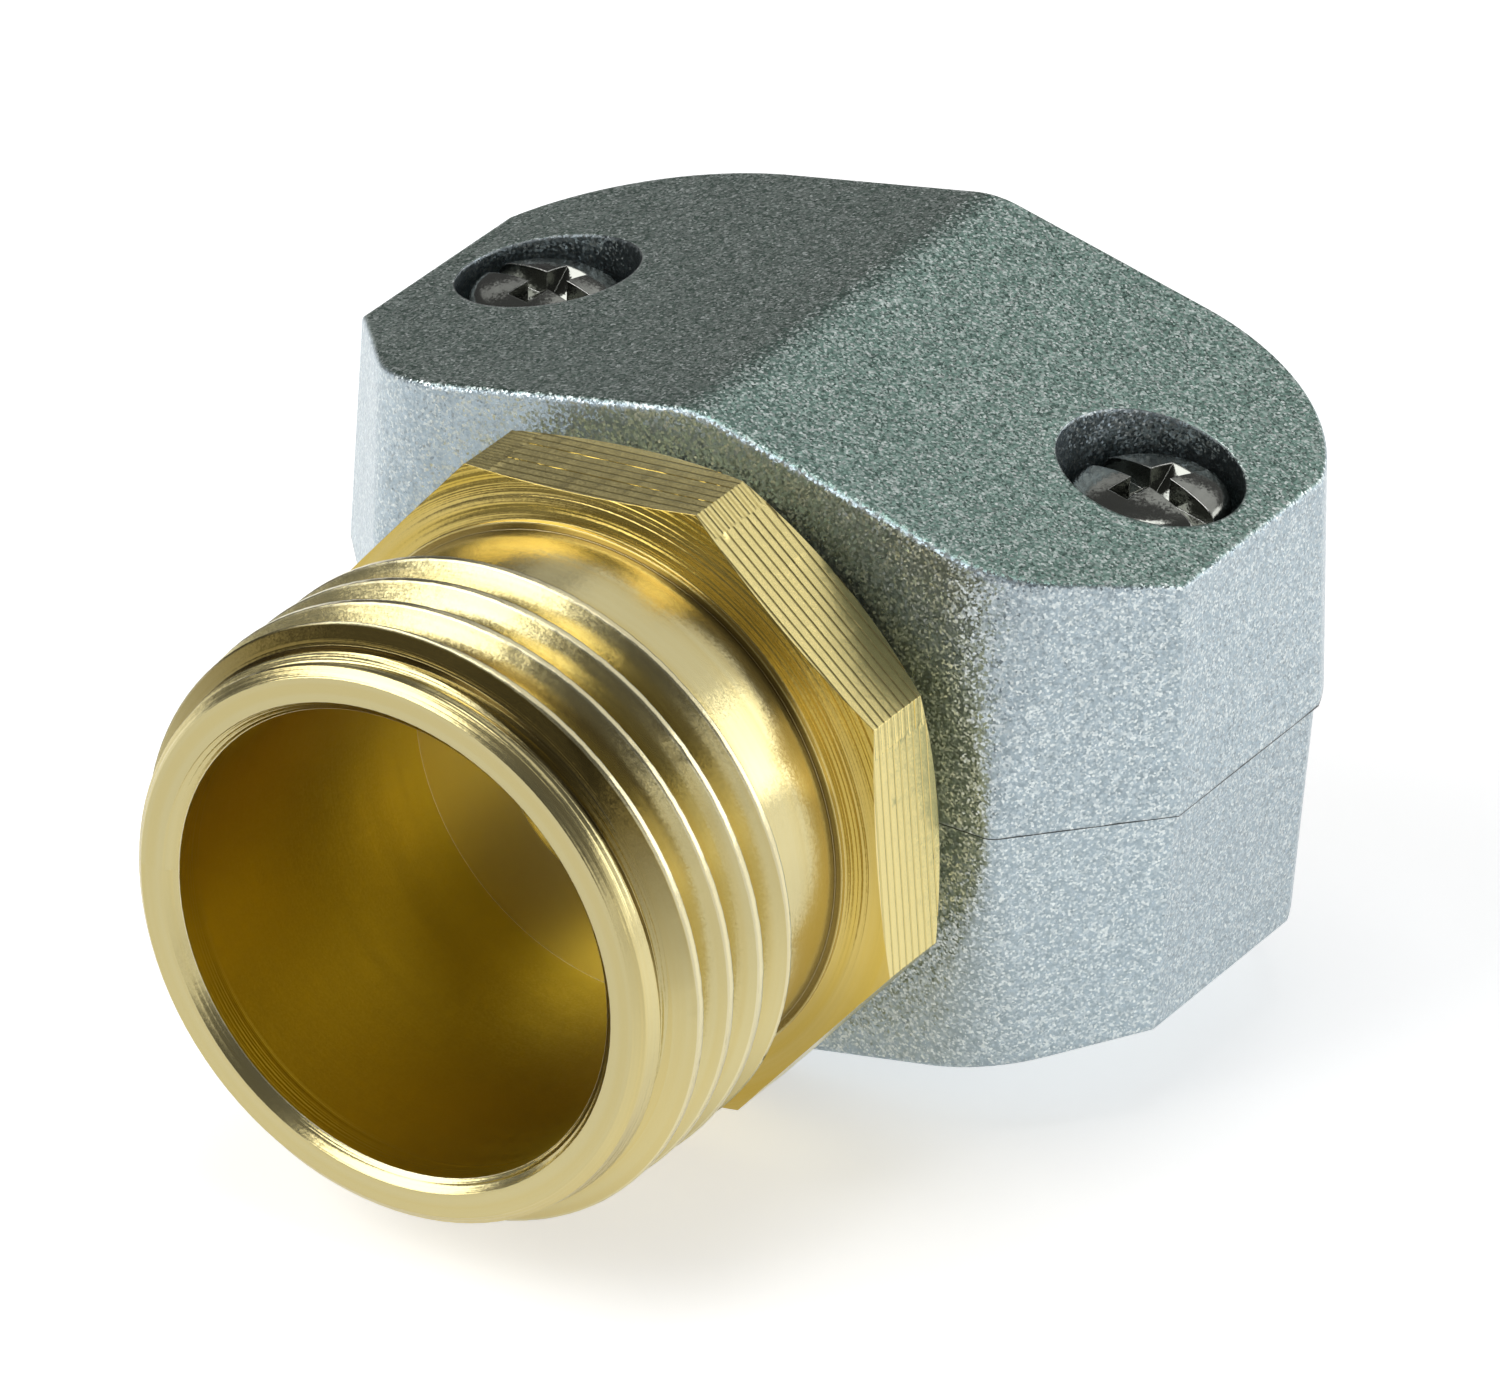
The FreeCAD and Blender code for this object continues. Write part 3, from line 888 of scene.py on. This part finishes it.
def groove_flats(bm, settings):
    """Cuts the cutter's grooves across each flat of the flange, shifted past its overlap."""
    pitch = settings.groove_pitch
    reach = FLANGE_FLAT_R * math.tan(math.pi / FLANGE_SIDES)
    count = int((FLANGE_BACK - FLANGE_FRONT) / pitch)
    for side in range(FLANGE_SIDES):
        angle = FLANGE_TURN + side * 2 * math.pi / FLANGE_SIDES
        outward = Vector((math.cos(angle), 0, math.sin(angle)))
        tangent = AXIS_Y.cross(outward)
        faces = flat_faces(bm, outward)
        if not faces:
            raise RuntimeError("a flat of the flange was not found")
        for column in range(1, FLAT_COLUMNS):
            across = reach * (2 * column / FLAT_COLUMNS - 1)
            faces = cut_across(bm, faces, tangent * across, tangent)
        overlap = reach * (2 / FLAT_COLUMNS - 1)
        inner = [face for face in faces if face.calc_center_median().dot(tangent) > overlap]
        outer = [face for face in faces if face.calc_center_median().dot(tangent) < overlap]
        for zone, phase in ((inner, GROOVE_PHASE), (outer, GROOVE_PHASE + PASS_SHIFT)):
            for k in range(count):
                chance = noise.cell_vector((side, k, 10 * phase))
                middle = FLANGE_FRONT + (k + phase + GROOVE_STRAY * (chance.x - 0.5)) * pitch
                for y in (middle - GROOVE_HALF, middle, middle + GROOVE_HALF):
                    zone = cut_across(bm, zone, AXIS_Y * y, AXIS_Y)
                verts = {vert for face in zone for vert in face.verts}
                deep = settings.groove_depth * (DEPTH_LEAST + DEPTH_CHANCE * chance.y)
                tilt = DEPTH_TILT * settings.groove_depth * chance.z
                for vert in verts:
                    off = vert.co.y - middle
                    if abs(off) < WELD:
                        vert.co -= outward * deep
                    elif abs(off - GROOVE_HALF) < WELD:
                        vert.co -= outward * tilt


def on_crest(vert):
    """Whether a vertex lies on the hose thread's crests."""
    radius = math.hypot(vert.co.x, vert.co.z)
    return radius > CREST_R - CREST_GAP and THREAD_START < vert.co.y < THREAD_END


def burr_crests(bm, settings):
    """Roughens the crest edges of the thread, as a tool leaves them."""
    edges = [
        edge
        for edge in bm.edges
        if on_crest(edge.verts[0]) and on_crest(edge.verts[1]) and edge.calc_length() > BURR_EDGE
    ]
    bmesh.ops.subdivide_edges(bm, edges=edges, cuts=BURR_CUTS)
    # Without a seed of its own, noise_vector differs from run to run
    noise.seed_set(BURR_SEED)
    for vert in bm.verts:
        if on_crest(vert):
            outward = Vector((vert.co.x, 0, vert.co.z)).normalized()
            shift = noise.noise_vector(vert.co / BURR_WAVE)
            vert.co += AXIS_Y * settings.burr * shift.y
            vert.co -= outward * settings.burr * 0.5 * abs(shift.x)


def cut_off(bm, height, side):
    """Clears what lies above (1) or below (-1) a height, and returns the edges of the cut."""
    cut = bmesh.ops.bisect_plane(
        bm,
        geom=bm.verts[:] + bm.edges[:] + bm.faces[:],
        dist=CUT_WELD,
        plane_co=(0, 0, height),
        plane_no=(0, 0, side),
        clear_outer=True,
    )
    return [item for item in cut["geom_cut"] if isinstance(item, bmesh.types.BMEdge)]


def threaded_shank(bm, settings, x, low, high):
    """Adds a threaded shank about the screw's axis, cut flat at both ends."""
    pitch = settings.pitch
    core = SHANK_R - settings.thread_depth
    # Spare turns at both ends are cut off again
    turns = math.ceil((high - low) / pitch) + 3
    start = low - 2 * pitch
    profile = (
        (core, 0.0),
        (core, THREAD_RISE[0]),
        (SHANK_R, THREAD_RISE[1]),
        (SHANK_R, THREAD_FALL[0]),
        (core, THREAD_FALL[1]),
        (core, 1.0),
    )
    verts = [bm.verts.new((x + r, SCREW_Y, start + share * pitch)) for r, share in profile]
    edges = [bm.edges.new(pair) for pair in zip(verts, verts[1:])]
    bmesh.ops.spin(
        bm,
        geom=verts + edges,
        cent=(x, SCREW_Y, 0),
        axis=AXIS_Z,
        dvec=(0, 0, pitch / settings.steps),
        angle=turns * 2 * math.pi,
        steps=turns * settings.steps,
        use_merge=False,
    )
    bmesh.ops.remove_doubles(bm, verts=bm.verts, dist=WELD)
    for height, side in ((low, -1), (high, 1)):
        bmesh.ops.holes_fill(bm, edges=cut_off(bm, height, side), sides=0)
    bmesh.ops.recalc_face_normals(bm, faces=bm.faces)


def screw_piece(settings, name, node, x):
    """One screw: the head of the CAD node on a threaded shank."""
    head = merged_copy(node)
    cut_off(head, HEAD_SEAT_Z - HEAD_CUT, -1)
    rim = [edge for edge in head.edges if edge.is_boundary]
    bmesh.ops.holes_fill(head, edges=rim, sides=0)
    shank = bmesh.new()
    threaded_shank(shank, settings, x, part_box(node)[0].z, HEAD_SEAT_Z - SHANK_LAP)
    joined = new_mesh("shank", shank)
    head.from_mesh(joined)
    bpy.data.meshes.remove(joined)
    material = screw_material(settings, name + "_steel", x)
    return finished_piece(head, name, node, material, STEEL_CREASE)


class HOSEMENDER_OT_coupling(bpy.types.Operator):
    """Finish the turned brass coupling with its grooved flats and its thread's burrs"""

    bl_idname = "hose_mender.coupling"
    bl_label = "Coupling"

    def execute(self, context):
        settings = context.scene.hose_mender_brass
        bm = merged_copy("coupling")
        groove_flats(bm, settings)
        burr_crests(bm, settings)
        material = brass_material(settings)
        finished_piece(bm, "turned_coupling", "coupling", material, BRASS_CREASE)
        return {"FINISHED"}


class HOSEMENDER_OT_clamp(bpy.types.Operator):
    """Finish the two cast halves of the clamp"""

    bl_idname = "hose_mender.clamp"
    bl_label = "Clamp halves"

    def execute(self, context):
        material = casting_material(context.scene.hose_mender_casting)
        for node in ("clamp_upper", "clamp_lower"):
            bm = merged_copy(node)
            finished_piece(bm, "cast_" + node, node, material, CAST_CREASE)
        return {"FINISHED"}


class HOSEMENDER_OT_screws(bpy.types.Operator):
    """Finish the two clamp screws with their threads"""

    bl_idname = "hose_mender.screws"
    bl_label = "Clamp screws"

    def execute(self, context):
        settings = context.scene.hose_mender_screws
        screw_piece(settings, "clamp_screw_left", "screw_left", -SCREW_X)
        screw_piece(settings, "clamp_screw_right", "screw_right", SCREW_X)
        return {"FINISHED"}


def stage_sheet(name, half, layout):
    """A square sheet of the set, laid out by a matrix."""
    bm = bmesh.new()
    bmesh.ops.create_grid(bm, x_segments=1, y_segments=1, size=half)
    bmesh.ops.transform(bm, matrix=layout, verts=bm.verts)
    return new_object(name, new_mesh(name, bm))


def stage_floor(settings):
    """A pale floor that shows as evenly lit paper."""
    drop = Matrix.Translation((0, 0, CAD_BOX[0].z - FLOOR_DROP))
    floor = stage_sheet("floor", FLOOR_HALF, drop)
    paper, tree, shader, place, _ = new_material("pale_paper")
    finish = {
        "Base Color": rgba(settings.floor_colour),
        "Roughness": 0.9,
        "Specular IOR Level": 0.0,
    }
    feed(tree, shader, finish)
    ray = add(tree, "ShaderNodeLightPath").outputs
    level = ranged(tree, split(tree, place)[1], FRONT_GLOW, 1.0, GLOW_FRONT, GLOW_BACK)
    mirrored = times(tree, ray["Is Glossy Ray"], level)
    seen = maths(tree, "MAXIMUM", ray["Is Camera Ray"], mirrored)
    seen = maths(tree, "MAXIMUM", seen, ray["Is Transmission Ray"])
    glow = add(
        tree,
        "ShaderNodeEmission",
        {"Color": rgba(WHITE), "Strength": times(tree, seen, FLOOR_GLOW)},
    )
    both = add(tree, "ShaderNodeAddShader", {0: shader.outputs[0], 1: glow.outputs[0]})
    feed(tree, tree.nodes["Material Output"], {0: both.outputs[0]})
    floor.data.materials.append(paper)


def stage_world(scene):
    """A sky that is bright low down and dim above."""
    world = bpy.data.worlds.new("studio")
    world.use_nodes = True
    scene.world = world
    tree = world.node_tree
    tree.nodes.clear()
    toward = add(tree, "ShaderNodeTexCoord").outputs["Generated"]
    level = ranged(tree, split(tree, toward)[2], 1.0, 0.12, 0.1, 0.3)
    sky = add(tree, "ShaderNodeBackground", {"Color": rgba(WHITE), "Strength": level})
    add(tree, "ShaderNodeOutputWorld", {0: sky.outputs[0]})


def stage_card(name, centre, width, height, radiance):
    """A card that is seen only in reflections, facing the part."""
    turn = (-Vector(centre)).to_track_quat("Z", "Y").to_matrix().to_4x4()
    size = Matrix.Diagonal((width, height, 1.0, 1.0))
    card = stage_sheet(name, 0.5, Matrix.Translation(centre) @ turn @ size)
    material = bpy.data.materials.new(name + "_paint")
    material.use_nodes = True
    tree = material.node_tree
    tree.nodes.clear()
    glow = add(tree, "ShaderNodeEmission", {"Color": rgba(WHITE), "Strength": radiance})
    add(tree, "ShaderNodeOutputMaterial", {0: glow.outputs[0]})
    card.data.materials.append(material)
    card.visible_camera = False
    card.visible_diffuse = False
    card.visible_shadow = False


def stage_lamp(name, centre, width, height, radiance):
    """An area lamp that faces the part."""
    lamp = bpy.data.lights.new(name, "AREA")
    lamp.shape = "RECTANGLE"
    lamp.size = width
    lamp.size_y = height
    lamp.energy = radiance * math.pi * width * height
    holder = new_object(name, lamp)
    holder.location = centre
    holder.rotation_mode = "QUATERNION"
    holder.rotation_quaternion = Vector(centre).to_track_quat("Z", "Y")


def stage_camera(scene, settings):
    """The photo's view of the part."""
    camera = bpy.data.cameras.new("camera")
    camera.lens = settings.lens
    camera.sensor_width = SENSOR_WIDTH
    camera.clip_start = 0.01
    camera.clip_end = 20.0
    holder = new_object("camera", camera)
    turn = Matrix((CAMERA_RIGHT, -CAMERA_DOWN, -CAMERA_AHEAD)).transposed()
    holder.matrix_world = Matrix.Translation(CAMERA_PLACE) @ turn.to_4x4()
    scene.camera = holder


class HOSEMENDER_OT_stage(bpy.types.Operator):
    """Set the floor, the lamps and the camera"""

    bl_idname = "hose_mender.stage"
    bl_label = "Stage"

    def execute(self, context):
        scene = context.scene
        settings = scene.hose_mender_stage
        scene.view_settings.view_transform = "Standard"
        stage_floor(settings)
        stage_world(scene)
        for card in CARDS:
            stage_card(*card)
        for lamp in LAMPS:
            stage_lamp(*lamp)
        stage_camera(scene, settings)
        return {"FINISHED"}


OPERATORS = (
    HOSEMENDER_OT_coupling,
    HOSEMENDER_OT_clamp,
    HOSEMENDER_OT_screws,
    HOSEMENDER_OT_stage,
)
SETTINGS = {
    "hose_mender_brass": HoseMenderBrass,
    "hose_mender_casting": HoseMenderCasting,
    "hose_mender_screws": HoseMenderScrews,
    "hose_mender_stage": HoseMenderStage,
}


class HOSEMENDER_PT_panel(bpy.types.Panel):
    """The mender's pieces and their settings"""

    bl_idname = "HOSEMENDER_PT_panel"
    bl_label = "Hose Mender"
    bl_space_type = "VIEW_3D"
    bl_region_type = "UI"
    bl_category = "Hose Mender"

    def draw(self, context):
        for operator, name in zip(OPERATORS, SETTINGS):
            box = self.layout.box()
            box.operator(operator.bl_idname)
            settings = getattr(context.scene, name)
            for key in settings.__annotations__:
                box.prop(settings, key)


CLASSES = (*SETTINGS.values(), *OPERATORS, HOSEMENDER_PT_panel)


def register():
    for cls in CLASSES:
        bpy.utils.register_class(cls)
    for name, cls in SETTINGS.items():
        setattr(bpy.types.Scene, name, PointerProperty(type=cls))


def unregister():
    for name in SETTINGS:
        delattr(bpy.types.Scene, name)
    for cls in reversed(CLASSES):
        bpy.utils.unregister_class(cls)


def main():
    register()
    bpy.ops.hose_mender.coupling()
    bpy.ops.hose_mender.clamp()
    bpy.ops.hose_mender.screws()
    bpy.ops.hose_mender.stage()


if __name__ == "__main__":
    main()
